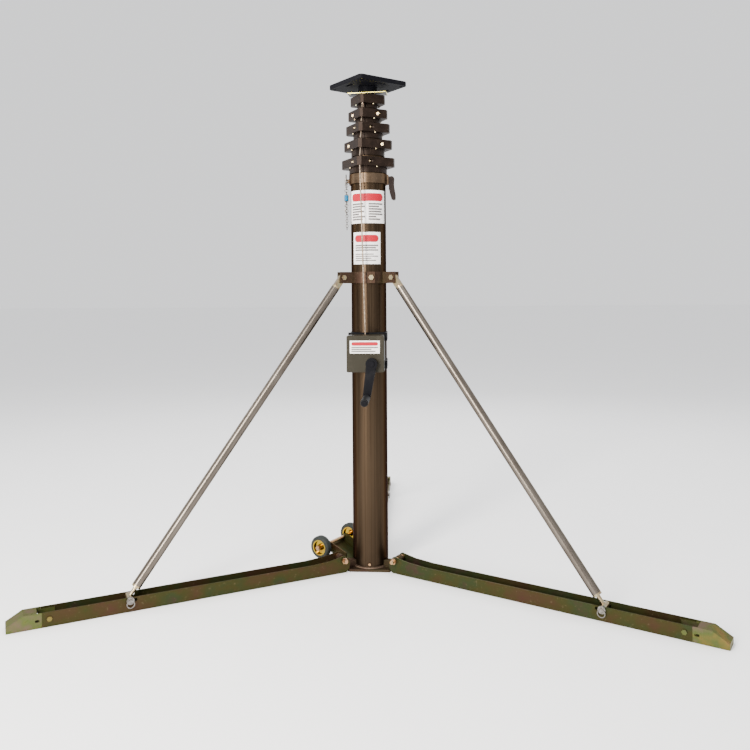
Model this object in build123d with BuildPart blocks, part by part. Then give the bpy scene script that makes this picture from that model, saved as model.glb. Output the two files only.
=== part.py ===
from build123d import *
from math import sin, cos, tan, radians, degrees, sqrt, atan2, pi, acos
import os

# Crank lighting stand: a five-section round mast on a three-legged base, raised by a
# hand winch. Millimetres, +Z up, the floor at z = 0 and the mast axis on Z.

RUN = 0.05          # radial clearance of a shaft in its bearing
SLIP = 0.4          # side gap between pieces that pass each other
OVER = 1.0          # how far a cut runs past the surface it goes through

# ---------------------------------------------------------------- mast sections
TUBE_R = [60.0, 52.5, 45.0, 37.5, 30.0]        # outer radius of each tube
TUBE_WALL = 3.0
TUBE_FOOT = [8.0, 20.0, 24.0, 28.0, 32.0]      # lower end of each tube, lowered
HEAD_Z = [1354.0, 1415.0, 1471.0, 1520.0, 1570.0]
HEAD_H = 30.0
HEAD_HALF = [71.3, 64.6, 59.4, 53.0, 47.0]     # axis to flat side
HEAD_CORNER = [92.8, 84.4, 77.0, 69.0, 60.6]   # axis to cut corner
HEAD_EDGE = 1.5     # rounding of the upright edges
HEAD_BEVEL = 0.8
RING_H = [20.0, 22.0, 19.0, 14.0, 13.0]        # round ring under each head
RING_WALL = 5.0
FRONT = -105.0      # direction of the front cut corner, degrees
TUBE_TOP_DROP = 10.0                           # tube end below the top of its head
TUBE_GAP = 1.2      # radial gap between a head and the tube that slides in it
BUSH_H = 26.0
FOOT_GLIDE_H = 40.0

# ---------------------------------------------------------------- ropes and sheaves
GUIDE_R = [86.0, 77.5, 70.0, 62.0, 54.0]       # rope guide, distance from the axis
GUIDE_HOLE_R = 3.3
ROPE_R = 2.5
ROPE_LIFT = 2.4     # start of each span above the head below it
ROPE_ANCHOR = 16.0  # depth of the blind hole that ends the rope in the last head
SHEAVE_R = 12.0
SHEAVE_W = 7.0
SHEAVE_OUT = 7.4    # sheave centre outside its tube
SHEAVE_GAP = 1.5
GROOVE_DEPTH = 2.2
GROOVE_HALF = 2.0
AXLE_BOLT_R = 3.0   # cross bolt of each sheave
AXLE_NUT_R = 5.5
AXLE_NUT_H = 5.0
POCKET_R = 6.5      # round pocket for the nut
POCKET_DROP = 9.0   # pocket floor inside the cut corner
SCREW_R = 1.5
SCREW_HEAD_R = 2.8
SCREW_HEAD_H = 4.0
SCREW_LEN = 12.0
SCREW_INSET = 3.4

# ---------------------------------------------------------------- base and legs
HEX_LONG = 70.0     # axis to the long edges of the base plate
HEX_SHORT = 92.6    # axis to the short edges, one under each leg
PLATE_T = 8.0
WELD = 4.0          # ring of weld round the foot of the tube
LEG_AZ = [90.0, 210.0, 330.0]
NEAR_SIDE = [1, -1, 1]                         # side of each leg that carries the nut
HINGE_RHO = 113.0
HINGE_Z = 41.0
HINGE_BOLT_R = 6.0
HINGE_NUT_R = 10.0
HINGE_NUT_H = 10.0
HINGE_HEAD_H = 7.0
HINGE_THREAD = 21.0
SLEEVE_R = 9.0
LUG_HALF = 10.0
LUG_R = 12.0
CH_HALF = 27.0      # half the outside width of a leg channel
CH_WALL = 3.5
CH_H = 41.0
CH_END = 1040.0
CH_EAR_R = 13.0
CH_MOUTH = 24.0     # floor cut back beyond the hinge
NOSE_L = 92.0
NOSE_END = CH_END + NOSE_L
NOSE_T = 3.0
NOSE_GAP = 0.2
NOSE_TIP_H = 16.0
NOSE_FLAT = 48.0    # level part of the nose roof
NOSE_ROOF_IN = 12.0
TONGUE_IN = 38.0    # tongue of the nose inside the channel
TONGUE_T = 2.5
NOSE_BOLT_R = 4.0
NOSE_BOLT_Z = 22.0
NOSE_BOLT_BACK = 20.0
SLOT_BACK = 15.0    # how far the foot pin slot runs inwards
SLOT_GAP = 1.2

# ---------------------------------------------------------------- collar and braces
COLLAR_Z = 980.0
COLLAR_H = 38.0
COLLAR_R = 66.0
COLLAR_GAP = 0.5
PIVOT_RHO = 100.0
EAR_T = 5.0
EAR_OUT = 12.0      # collar ears past the brace bolt
BOLT_R = 5.0
BOLT_HEX_R = 9.0
CLAMP_X = 13.0
CLAMP_HALF = 12.0
CLAMP_Y = -76.0
FOOT_RHO = 800.0
FOOT_Z = 33.0
PIN_R = 4.0
PIN_HEAD_R = 11.0
PIN_HEAD_H = 5.0
PULL_R = 12.0
PULL_WIRE = 2.6
BRACE_R = 14.0
BRACE_WALL = 2.0
EYE_HALF = 8.0
EYE_R = 13.0
EYE_LEN = 44.0      # brace bolt to the start of the tube
END_FLANGE = 6.0
END_PLUG = 36.0
FOOT_LEN = 34.0     # end of the tube to the foot pin
FOOT_ROD_R = 6.0
FOOT_SLEEVE_R = 9.0
FOOT_SLEEVE_HALF = 20.0

# ---------------------------------------------------------------- winch
BOX_X1 = 57.0
BOX_Y0, BOX_Y1 = -146.0, -66.0
BOX_Z0, BOX_Z1 = 671.0, 790.0
BOX_T = 3.0
BOX_CORNER = 5.0
BOX_EDGE = 1.5
BEARING_R = 8.0
BOSS_R = 13.0
BOSS_H = 7.0
MODULE = 2.0
PINION_N = 12
GEAR_N = 33
PRESSURE = 25.0     # pressure angle, degrees
TOOTH_THIN = 0.12
CRANK_X = 17.0
CRANK_Z = 700.0
DRUM_X = -24.5
CENTRES = MODULE * (PINION_N + GEAR_N) / 2
ADDENDUM = 0.8 * MODULE
GEAR_R = MODULE * GEAR_N / 2 + ADDENDUM
GEAR_SPACE = 2.9    # gear to the side wall of the box
BOX_X0 = DRUM_X - GEAR_R - GEAR_SPACE - BOX_T
DRUM_Z = CRANK_Z + sqrt(CENTRES ** 2 - (CRANK_X - DRUM_X) ** 2)
GEAR_Y = -124.0
GEAR_W = 10.0
DRUM_R = 15.5
DRUM_ROPE_R = 18.5
FLANGE_R = 28.0
FLANGE_T = 3.0
DRUM_BACK_Y = -74.0
ROPE_Y = -84.0
CRANK_L = 112.3
ARM = Vector(-0.154, 0, -1).normalized()
ARM_T = 10.0
ARM_ROOT = 17.0     # half width of the arm at the hub
HUB_R = 19.0
HUB_H = 16.0
HUB_GAP = 4.0
NUT_R = 9.0
GRIP = (CRANK_X + ARM.X * CRANK_L, CRANK_Z + ARM.Z * CRANK_L)
GRIP_L = 100.0
GRIP_R = 12.5
GRIP_EDGE = 2.5
SPINDLE_R = 5.0
STRAP_Z = [691.0, 783.0]
STRAP_HALF = 13.0
STRAP_T = 3.5
STRAP_X = 65.0

# ---------------------------------------------------------------- clamp ring and chain
CLAMP_RING_R = 65.5
CLAMP_RING_Z = (1298.0, 1331.0)
LEVER_X = 80.0
LEVER_Z = 1316.0
LEVER_PIN_R = 4.0
LEVER_HALF = 12.0
TONGUE_HALF = 6.0
CHAIN_X = -74.5
CHAIN_Y = -7.5
CHAIN_LUG = (1303.0, 1317.0)
LINK_R = 5.6
LINK_WIRE = 1.1
LINK_STEP = 8.6
LINKS = 13

# ---------------------------------------------------------------- top and wheels
TOP_Z = 1631.0
TOP_T = 15.0
TOP_HALF = 98.0
TOP_YAW = 39.0
TOP_CORNER = 14.0
TOP_BOSS_R = 32.0
TOP_HOLE_R = 5.5
TOP_HOLE_RHO = 115.64
TOP_SLOT_RHO = 74.0
TOP_SLOT = (44.0, 11.0)
STUD_R = 6.5
STUD_DEPTH = 30.0
STRIP = (133.0, 50.0)
STRIP_T = 3.0
STRIP_Z = 1609.0
STRIP_YAW = -6.1
WHEEL_R = 37.5
WHEEL_W = 24.0
TYRE_ROUND = 6.0
HUB_RIM_R = 26.0
DISH_R = 22.0
DISH_BOSS_R = 11.0
DISH_DEPTH = 7.0
AXLE_R = 6.0
AXLE_NUT = 9.5
AXLE_RHO = 146.0
AXLE_Z = 59.0
AXLE_END = 22.0
WHEEL_AZ = 150.0
WHEEL_SPAN = 87.0
BRACKET_HALF = 52.0
BRACKET_T = 4.0


# ---------------------------------------------------------------- helpers
def save(part, label):
    """Names one piece and writes it out."""
    part.label = label
    export_step(part, f"parts/{label}.step")


def polar(radius, angle, z=0.0):
    return (radius * cos(radians(angle)), radius * sin(radians(angle)), z)


def radial_point(az, rho, side, z):
    """Point at distance rho along az, moved sideways, at height z."""
    a = radians(az)
    return (rho * cos(a) + side * sin(a), rho * sin(a) - side * cos(a), z)


def side_plane(az, shift=0.0):
    """Upright plane along az, moved sideways: its x runs outwards and its y runs up."""
    n = (sin(radians(az)), -cos(radians(az)), 0)
    return Plane(origin=(n[0] * shift, n[1] * shift, 0), x_dir=polar(1, az), z_dir=n)


def ring(r_out, r_in, z0, z1, mode=Mode.ADD):
    """A plain tube, or a disc where r_in is 0, between two heights."""
    with BuildSketch(Plane.XY.offset(z0)) as outline:
        Circle(r_out)
        if r_in > 0:
            Circle(r_in, mode=Mode.SUBTRACT)
    extrude(outline.sketch, amount=z1 - z0, mode=mode)


def bar(p0, p1, radius, mode=Mode.ADD):
    """A round bar from one point to another."""
    v = Vector(*p1) - Vector(*p0)
    with BuildSketch(Plane(origin=p0, z_dir=v.normalized())) as outline:
        Circle(radius)
    extrude(outline.sketch, amount=v.length, mode=mode)


def cross_bar(az, rho, z, side_0, side_1, radius, mode=Mode.ADD):
    """A round bar lying across the direction az."""
    bar(radial_point(az, rho, side_0, z), radial_point(az, rho, side_1, z), radius, mode)


def cross_hex(az, rho, z, side, radius, height):
    """A hexagon across the direction az; a negative height grows to the other side."""
    with BuildSketch(side_plane(az, side)) as outline:
        with Locations((rho, z)):
            RegularPolygon(radius, 6)
    extrude(outline.sketch, amount=height)


def y_bar(x, z, y0, y1, radius, mode=Mode.ADD):
    """A round bar along Y."""
    bar((x, y0, z), (x, y1, z), radius, mode)


def block(x0, x1, y0, y1, z0, z1, mode=Mode.ADD):
    with BuildSketch(Plane.XY.offset(z0)) as outline:
        with Locations(((x0 + x1) / 2, (y0 + y1) / 2)):
            Rectangle(x1 - x0, y1 - y0)
    extrude(outline.sketch, amount=z1 - z0, mode=mode)


def radial_plate(az, points, half, mode=Mode.ADD):
    """An upright outline along az, thickened to both sides."""
    with BuildSketch(side_plane(az)) as outline:
        Polygon(*points, align=None)
    extrude(outline.sketch, amount=half, both=True, mode=mode)


def radial_box(az, r0, r1, half, z0, z1, mode=Mode.ADD):
    radial_plate(az, [(r0, z0), (r1, z0), (r1, z1), (r0, z1)], half, mode)


def cut_square(half, corner, front):
    """Outline of a square whose four corners are cut square to the diagonal."""
    w = sqrt(2) * half - corner
    pts = []
    for quarter in range(4):
        for s in (-w, w):
            x, y, _ = radial_point(front + 90 * quarter, corner, -s, 0)
            pts.append((x, y))
    return pts


# Even sections carry their sheaves left and right, odd ones front and back, so the ropes
# of neighbouring sections stay clear. The last section has none.
SHEAVE_AZ = [[FRONT, FRONT + 180], [FRONT + 90, FRONT - 90], [FRONT, FRONT + 180],
             [FRONT + 90, FRONT - 90], []]
SHEAVE_RHO = [r + SHEAVE_OUT for r in TUBE_R]


def nut_seat(i):
    """Distance from a sheave to the floor of its nut pocket."""
    return sqrt(2) * HEAD_HALF[i] - SHEAVE_RHO[i] - POCKET_DROP


def sheave_slots(i, z0, z1):
    """Cuts the slots for the sheaves of section i."""
    reach = SHEAVE_R + SHEAVE_GAP
    for az in SHEAVE_AZ[i]:
        rho = SHEAVE_RHO[i]
        radial_box(az, rho - reach, rho + reach, SHEAVE_W / 2 + OVER, z0, z1, Mode.SUBTRACT)


def screw_places(i):
    """Middle of each side of head i, where a screw goes up into it."""
    return [polar(HEAD_HALF[i] - SCREW_INSET, FRONT + 45 + 90 * n)[:2] for n in range(4)]


os.makedirs("parts", exist_ok=True)

# ================================================================ base plate
# Six-sided steel plate, welded round the foot of the mast, with a hinge lug for each leg.
with BuildPart() as base_plate:
    short_half = (HEX_SHORT - HEX_LONG / 2) / sin(radians(60))
    corners = []
    for az in (270.0, 30.0, 150.0):
        for s in (-short_half, short_half):
            x, y, _ = radial_point(az, HEX_LONG, -s, 0)
            corners.append((x, y))
    with BuildSketch():
        Polygon(*corners, align=None)
    extrude(amount=PLATE_T)
    ring(TUBE_R[0] + WELD, TUBE_R[0] - OVER, PLATE_T, PLATE_T + WELD)
    for az in LEG_AZ:
        radial_plate(az, [(TUBE_R[0] - 5, PLATE_T), (HINGE_RHO + 9, PLATE_T), (HINGE_RHO + 12, HINGE_Z),
                          (HINGE_RHO - 5, HINGE_Z + 11), (HINGE_RHO - 30, HINGE_Z - 8),
                          (TUBE_R[0] - 5, HINGE_Z - 12)], LUG_HALF)
        cross_bar(az, HINGE_RHO, HINGE_Z, -LUG_HALF, LUG_HALF, LUG_R)
        cross_bar(az, HINGE_RHO, HINGE_Z, -LUG_HALF - OVER, LUG_HALF + OVER, HINGE_BOLT_R, Mode.SUBTRACT)
    ring(TUBE_R[0], 0, PLATE_T, HINGE_Z + LUG_R, Mode.SUBTRACT)
save(base_plate.part, "base_plate")

# ================================================================ mast tubes
# The fixed tube and the four that slide in it, slotted at the top for the sheaves.
for i in range(5):
    with BuildPart() as tube:
        ring(TUBE_R[i], TUBE_R[i] - TUBE_WALL, TUBE_FOOT[i], HEAD_Z[i] + HEAD_H - TUBE_TOP_DROP)
        sheave_slots(i, HEAD_Z[i] - OVER, HEAD_Z[i] + HEAD_H)
    save(tube.part, f"tube_{i + 1}")

# ================================================================ heads
# Cast square blocks with cut corners; each is bored for its own tube, carries the
# sheaves in two of its corners and guides the outside rope through the front corner.
for i in range(5):
    z0 = HEAD_Z[i]
    z1 = z0 + HEAD_H
    guide_depth = HEAD_H if i < 4 else ROPE_ANCHOR
    with BuildPart() as head:
        with BuildSketch(Plane.XY.offset(z0)):
            Polygon(*cut_square(HEAD_HALF[i], HEAD_CORNER[i], FRONT), align=None)
        extrude(amount=HEAD_H)
        fillet(head.edges().filter_by(Axis.Z), HEAD_EDGE)
        chamfer(head.faces().sort_by(Axis.Z)[-1].edges(), HEAD_BEVEL)
        ring(TUBE_R[i] + RING_WALL, 0, z0 - RING_H[i], z0)
        ring(TUBE_R[i], 0, z0 - RING_H[i], z1 - TUBE_TOP_DROP, Mode.SUBTRACT)
        if i < 4:
            ring(TUBE_R[i + 1] + TUBE_GAP, 0, z1 - TUBE_TOP_DROP, z1, Mode.SUBTRACT)
        with BuildSketch(Plane.XY.offset(z0)):
            with Locations(polar(GUIDE_R[i], FRONT)[:2]):
                Circle(GUIDE_HOLE_R)
        extrude(amount=guide_depth, mode=Mode.SUBTRACT)
        sheave_slots(i, z0 + 2, z1)
        for az in SHEAVE_AZ[i]:
            reach = nut_seat(i) + POCKET_DROP + 15
            cross_bar(az, SHEAVE_RHO[i], z0 + HEAD_H / 2, -reach, reach, AXLE_BOLT_R, Mode.SUBTRACT)
            for s in (-1, 1):
                cross_bar(az, SHEAVE_RHO[i], z0 + HEAD_H / 2, s * nut_seat(i), s * reach, POCKET_R,
                          Mode.SUBTRACT)
        with BuildSketch(Plane.XY.offset(z0)):
            with Locations(*screw_places(i)):
                Circle(SCREW_R)
        extrude(amount=SCREW_LEN, mode=Mode.SUBTRACT)
    save(head.part, f"head_{i + 1}")

# ================================================================ glides
# Nylon guides: a bush in the top of each tube for the next one, and a foot ring round
# the lower end of each sliding tube.
for i in range(5):
    with BuildPart() as glides:
        if i < 4:
            top = HEAD_Z[i] + HEAD_H - TUBE_TOP_DROP
            ring(TUBE_R[i] - TUBE_WALL, TUBE_R[i + 1] + RUN, top - BUSH_H, top)
            sheave_slots(i, HEAD_Z[i] - OVER, HEAD_Z[i] + HEAD_H)
        if i > 0:
            ring(TUBE_R[i - 1] - TUBE_WALL - RUN, TUBE_R[i], TUBE_FOOT[i], TUBE_FOOT[i] + FOOT_GLIDE_H)
    save(glides.part, f"glides_{i + 1}")

# ================================================================ head hardware
# Grooved sheaves on their cross bolts, and the four screws that go up into each head.
for i in range(5):
    mid = HEAD_Z[i] + HEAD_H / 2
    pieces = []
    for az in SHEAVE_AZ[i]:
        with BuildPart() as sheave:
            cross_bar(az, SHEAVE_RHO[i], mid, -SHEAVE_W / 2, -GROOVE_HALF, SHEAVE_R)
            cross_bar(az, SHEAVE_RHO[i], mid, -GROOVE_HALF, GROOVE_HALF, SHEAVE_R - GROOVE_DEPTH)
            cross_bar(az, SHEAVE_RHO[i], mid, GROOVE_HALF, SHEAVE_W / 2, SHEAVE_R)
            cross_bar(az, SHEAVE_RHO[i], mid, -SHEAVE_W, SHEAVE_W, AXLE_BOLT_R, Mode.SUBTRACT)
        pieces += list(sheave.part.solids())
    with BuildPart() as bolts:
        for az in SHEAVE_AZ[i]:
            seat = nut_seat(i)
            end = seat + AXLE_NUT_H
            cross_bar(az, SHEAVE_RHO[i], mid, -end - 2, end + 5, AXLE_BOLT_R)
            cross_hex(az, SHEAVE_RHO[i], mid, seat, AXLE_NUT_R, AXLE_NUT_H)
            cross_hex(az, SHEAVE_RHO[i], mid, -seat, AXLE_NUT_R, -AXLE_NUT_H)
        with BuildSketch(Plane.XY.offset(HEAD_Z[i])):
            with Locations(*screw_places(i)):
                Circle(SCREW_R)
        extrude(amount=SCREW_LEN)
        with BuildSketch(Plane.XY.offset(HEAD_Z[i])):
            with Locations(*screw_places(i)):
                Circle(SCREW_HEAD_R)
        extrude(amount=-SCREW_HEAD_H)
    pieces += list(bolts.part.solids())
    save(Compound(children=pieces), f"hardware_{i + 1}")

# ================================================================ clamp ring
# Locking ring under the fixed head, with the tongue that carries the lever and a small
# lug for the safety chain.
with BuildPart() as clamp_ring:
    ring(CLAMP_RING_R, TUBE_R[0] - OVER, *CLAMP_RING_Z)
    block(58, 70, -15, 15, CLAMP_RING_Z[0] + 1, CLAMP_RING_Z[1] - 1)
    block(65, LEVER_X, -TONGUE_HALF, TONGUE_HALF, LEVER_Z - 10, LEVER_Z + 10)
    y_bar(LEVER_X, LEVER_Z, -TONGUE_HALF, TONGUE_HALF, 10)
    block(CHAIN_X - 5, -60, CHAIN_Y - 2.5, CHAIN_Y + 2.5, *CHAIN_LUG)
    y_bar(LEVER_X, LEVER_Z, -LEVER_HALF, LEVER_HALF, LEVER_PIN_R + RUN, Mode.SUBTRACT)
    y_bar(CHAIN_X, sum(CHAIN_LUG) / 2, CHAIN_Y - 5, CHAIN_Y + 5, 3, Mode.SUBTRACT)
    ring(TUBE_R[0], 0, CLAMP_RING_Z[0] - OVER, CLAMP_RING_Z[1] + OVER, Mode.SUBTRACT)
save(clamp_ring.part, "clamp_ring")

# ================================================================ locking lever
# Forked hand lever on a pin through the tongue, hanging down when it is locked.
with BuildPart() as lock_lever:
    y_bar(LEVER_X, LEVER_Z, -LEVER_HALF, LEVER_HALF, 10)
    block(LEVER_X - 9, LEVER_X + 9, -LEVER_HALF, LEVER_HALF, LEVER_Z - 36, LEVER_Z)
    block(60, 100, -TONGUE_HALF - SLIP, TONGUE_HALF + SLIP, LEVER_Z - 14, LEVER_Z + 20, Mode.SUBTRACT)
    with BuildSketch(Plane.XZ):
        with Locations((LEVER_X, LEVER_Z)):
            Polygon((-9, -24), (9, -24), (14, -52), (14, -68), (8, -72), (0, -68), (-6, -48), align=None)
    extrude(amount=LEVER_HALF, both=True)
    fillet(lock_lever.edges().filter_by(Axis.Y).group_by(Axis.Z)[0], 3)
    y_bar(LEVER_X, LEVER_Z, -LEVER_HALF - 1, LEVER_HALF + 1, LEVER_PIN_R)
save(lock_lever.part, "lock_lever")

# ================================================================ legs
# Folded steel channels, open upwards, hinged on the base lugs; each has slotted holes
# for its brace pin near the outer end.
CH_IN = CH_HALF - CH_WALL
for k, az in enumerate(LEG_AZ):
    with BuildPart() as leg:
        radial_plate(az, [(HINGE_RHO - 8, 0), (CH_END, 0), (CH_END, CH_H), (HINGE_RHO + 115, CH_H),
                          (HINGE_RHO + 50, CH_H + 4), (HINGE_RHO + 5, HINGE_Z + 12),
                          (HINGE_RHO - 12, HINGE_Z + 5), (HINGE_RHO - 23, HINGE_Z - 11),
                          (HINGE_RHO - 20, 12)], CH_HALF)
        cross_bar(az, HINGE_RHO, HINGE_Z, -CH_HALF, CH_HALF, CH_EAR_R)
        radial_box(az, HINGE_RHO - 60, CH_END + OVER, CH_IN, CH_WALL, HINGE_Z + 40, Mode.SUBTRACT)
        radial_box(az, HINGE_RHO - 60, HINGE_RHO + CH_MOUTH, CH_IN, -OVER, CH_H, Mode.SUBTRACT)
        cross_bar(az, HINGE_RHO, HINGE_Z, -CH_HALF - OVER, CH_HALF + OVER, HINGE_BOLT_R + RUN, Mode.SUBTRACT)
        cross_bar(az, CH_END - NOSE_BOLT_BACK, NOSE_BOLT_Z, -CH_HALF - OVER, CH_HALF + OVER, NOSE_BOLT_R,
                  Mode.SUBTRACT)
        with BuildSketch(side_plane(az)):
            with Locations((FOOT_RHO - SLOT_BACK / 2, FOOT_Z)):
                SlotCenterToCenter(SLOT_BACK, 2 * (PIN_R + SLOT_GAP))
        extrude(amount=CH_HALF + OVER, both=True, mode=Mode.SUBTRACT)
    save(leg.part, f"leg_{k + 1}")

# ================================================================ leg noses
# Folded cap that closes the outer end of a channel, with a level roof that slopes down to
# the tip and two tongues bolted inside the channel walls.
for k, az in enumerate(LEG_AZ):
    start = CH_END + NOSE_GAP
    flat_end = CH_END + NOSE_FLAT
    with BuildPart() as nose:
        radial_plate(az, [(start, 0), (NOSE_END, 0), (NOSE_END, NOSE_TIP_H), (flat_end, CH_H), (start, CH_H)],
                     CH_HALF)
        radial_plate(az, [(start - OVER, NOSE_T), (NOSE_END - NOSE_T, NOSE_T),
                          (NOSE_END - NOSE_T, NOSE_TIP_H - NOSE_T), (flat_end - 2, CH_H - NOSE_T),
                          (start - OVER, CH_H - NOSE_T)], CH_HALF - NOSE_T, Mode.SUBTRACT)
        radial_box(az, start - OVER, start + NOSE_ROOF_IN, CH_HALF - NOSE_T, CH_H / 2, CH_H + OVER,
                   Mode.SUBTRACT)
        for s in (-1, 1):
            with BuildSketch(side_plane(az, s * CH_IN)):
                with Locations((CH_END - TONGUE_IN / 2 + 4, CH_H / 2)):
                    Rectangle(TONGUE_IN + 8, CH_H - 12)
            extrude(amount=-s * TONGUE_T)
            cross_bar(az, CH_END - NOSE_BOLT_BACK, NOSE_BOLT_Z, s * CH_IN, s * CH_HALF, NOSE_BOLT_R)
            cross_hex(az, CH_END - NOSE_BOLT_BACK, NOSE_BOLT_Z, s * CH_HALF, 7.5, s * 4)
            with BuildSketch(side_plane(az, s * (CH_HALF + OVER))):
                with Locations((start + 11, CH_H / 2)):
                    SlotOverall(13, 7)
            extrude(amount=-s * (NOSE_T + 2 * OVER), mode=Mode.SUBTRACT)
    save(nose.part, f"leg_{k + 1}_nose")

# ================================================================ braces
# Round tubes with an eye on the collar bolt and a cross sleeve on the foot pin.
for k, az in enumerate(LEG_AZ):
    top = Vector(*radial_point(az, PIVOT_RHO, 0, COLLAR_Z))
    foot = Vector(*radial_point(az, FOOT_RHO, 0, FOOT_Z))
    along = (foot - top).normalized()
    length = (foot - top).length
    tube_end = length - FOOT_LEN - END_FLANGE
    slope = degrees(atan2(FOOT_Z - COLLAR_Z, FOOT_RHO - PIVOT_RHO))

    with BuildPart() as brace:
        with BuildSketch(Plane(origin=top + along * EYE_LEN, z_dir=along)):
            Circle(BRACE_R)
            Circle(BRACE_R - BRACE_WALL, mode=Mode.SUBTRACT)
        extrude(amount=tube_end - EYE_LEN)
    save(brace.part, f"brace_{k + 1}")

    with BuildPart() as ends:
        cross_bar(az, PIVOT_RHO, COLLAR_Z, -EYE_HALF, EYE_HALF, EYE_R)
        with BuildSketch(side_plane(az)):
            with Locations(Location((PIVOT_RHO, COLLAR_Z), slope)):
                with Locations((EYE_LEN / 2, 0)):
                    Rectangle(EYE_LEN, 22)
        extrude(amount=EYE_HALF, both=True)
        bar(tuple(top + along * (EYE_LEN - END_FLANGE)), tuple(top + along * EYE_LEN), BRACE_R)
        bar(tuple(top + along * EYE_LEN), tuple(top + along * (EYE_LEN + END_PLUG)), BRACE_R - BRACE_WALL)
        cross_bar(az, PIVOT_RHO, COLLAR_Z, -2 * EYE_HALF, 2 * EYE_HALF, BOLT_R + RUN, Mode.SUBTRACT)
        bar(tuple(top + along * (tube_end - END_PLUG)), tuple(top + along * tube_end), BRACE_R - BRACE_WALL)
        bar(tuple(top + along * tube_end), tuple(top + along * (tube_end + END_FLANGE)), BRACE_R)
        bar(tuple(top + along * (tube_end + END_FLANGE)), tuple(top + along * (length - PIN_R)), FOOT_ROD_R)
        cross_bar(az, FOOT_RHO, FOOT_Z, -FOOT_SLEEVE_HALF, FOOT_SLEEVE_HALF, FOOT_SLEEVE_R)
        cross_bar(az, FOOT_RHO, FOOT_Z, -FOOT_SLEEVE_HALF - OVER, FOOT_SLEEVE_HALF + OVER, PIN_R + RUN,
                  Mode.SUBTRACT)
    save(ends.part, f"brace_{k + 1}_ends")

# ================================================================ foot pins
# Quick-release pin through the channel and the foot of a brace, with a flat head and a
# pull ring on the near side.
for k, az in enumerate(LEG_AZ):
    near = NEAR_SIDE[k]
    face = CH_HALF + SLIP
    with BuildPart() as pin:
        cross_bar(az, FOOT_RHO, FOOT_Z, -near * (CH_HALF + 7), near * (face + PIN_HEAD_H), PIN_R)
        cross_bar(az, FOOT_RHO, FOOT_Z, near * face, near * (face + PIN_HEAD_H), PIN_HEAD_R)
        with BuildSketch(side_plane(az, near * (face + PIN_HEAD_H + 1.4))):
            with Locations((FOOT_RHO, FOOT_Z - 9)):
                Circle(PULL_R)
                Circle(PULL_R - PULL_WIRE, mode=Mode.SUBTRACT)
        extrude(amount=PULL_WIRE / 2, both=True)
        cross_bar(az, FOOT_RHO, FOOT_Z, near * face, near * (face + PIN_HEAD_H + 3.5), PIN_R)
    save(pin.part, f"foot_pin_{k + 1}")

# ================================================================ collar
# Sliding band on the fixed tube with a pair of ears for each brace and a clamp block.
COLLAR_0 = COLLAR_Z - COLLAR_H / 2
COLLAR_1 = COLLAR_Z + COLLAR_H / 2
with BuildPart() as collar_band:
    ring(COLLAR_R, TUBE_R[0] - OVER, COLLAR_0, COLLAR_1)
    for az in LEG_AZ:
        for s in (-1, 1):
            with BuildSketch(side_plane(az, s * (EYE_HALF + SLIP))):
                with Locations(((COLLAR_R - 3 + PIVOT_RHO + EAR_OUT) / 2, COLLAR_Z)):
                    Rectangle(PIVOT_RHO + EAR_OUT - COLLAR_R + 3, COLLAR_H)
            extrude(amount=s * EAR_T)
        cross_bar(az, PIVOT_RHO, COLLAR_Z, -20, 20, BOLT_R, Mode.SUBTRACT)
    block(CLAMP_X - CLAMP_HALF, CLAMP_X + CLAMP_HALF, CLAMP_Y, -58, COLLAR_0, COLLAR_1)
    y_bar(CLAMP_X, COLLAR_Z, CLAMP_Y - 4, -50, BOLT_R, Mode.SUBTRACT)
    ring(TUBE_R[0] + COLLAR_GAP, 0, COLLAR_0 - OVER, COLLAR_1 + OVER, Mode.SUBTRACT)
save(collar_band.part, "collar_band")

# ================================================================ collar bolts
# The three brace bolts with their nuts, and the screw of the clamp block.
with BuildPart() as collar_bolts:
    face = EYE_HALF + SLIP + EAR_T
    for az in LEG_AZ:
        cross_bar(az, PIVOT_RHO, COLLAR_Z, -face - 8, face + 4, BOLT_R)
        cross_hex(az, PIVOT_RHO, COLLAR_Z, face, BOLT_HEX_R, 6)
        cross_hex(az, PIVOT_RHO, COLLAR_Z, -face, BOLT_HEX_R, -5)
    y_bar(CLAMP_X, COLLAR_Z, CLAMP_Y - 2, -61, BOLT_R)
    with BuildSketch(Plane.XZ.offset(-CLAMP_Y)):
        with Locations((CLAMP_X, COLLAR_Z)):
            RegularPolygon(BOLT_HEX_R, 6)
    extrude(amount=7)
save(collar_bolts.part, "collar_bolts")

# ================================================================ winch housing
# Folded box with the two bearings of the crank shaft and the drum, and a slot in its roof
# for the rope. The front bearing of the drum is a blind boss inside.
with BuildPart() as winch_housing:
    block(BOX_X0, BOX_X1, BOX_Y0, BOX_Y1, BOX_Z0, BOX_Z1)
    fillet(winch_housing.edges().filter_by(Axis.Y), BOX_CORNER)
    fillet(winch_housing.faces().sort_by(Axis.Y)[0].edges(), BOX_EDGE)
    block(BOX_X0 + BOX_T, BOX_X1 - BOX_T, BOX_Y0 + BOX_T, BOX_Y1 - BOX_T, BOX_Z0 + BOX_T, BOX_Z1 - BOX_T,
          Mode.SUBTRACT)
    y_bar(DRUM_X, DRUM_Z, BOX_Y0 + BOX_T, BOX_Y0 + BOX_T + BOSS_H, BOSS_R)
    y_bar(DRUM_X, DRUM_Z, BOX_Y0 + BOX_T, BOX_Y1 + OVER, BEARING_R + RUN, Mode.SUBTRACT)
    y_bar(CRANK_X, CRANK_Z, BOX_Y0 - OVER, BOX_Y1 + OVER, BEARING_R + RUN, Mode.SUBTRACT)
    rope_x = DRUM_X + DRUM_ROPE_R
    block(rope_x - 7, rope_x + 7, ROPE_Y - 10, ROPE_Y + 6, BOX_Z1 - BOX_T - OVER, BOX_Z1 + OVER,
          Mode.SUBTRACT)
save(winch_housing.part, "winch_housing")

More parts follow.
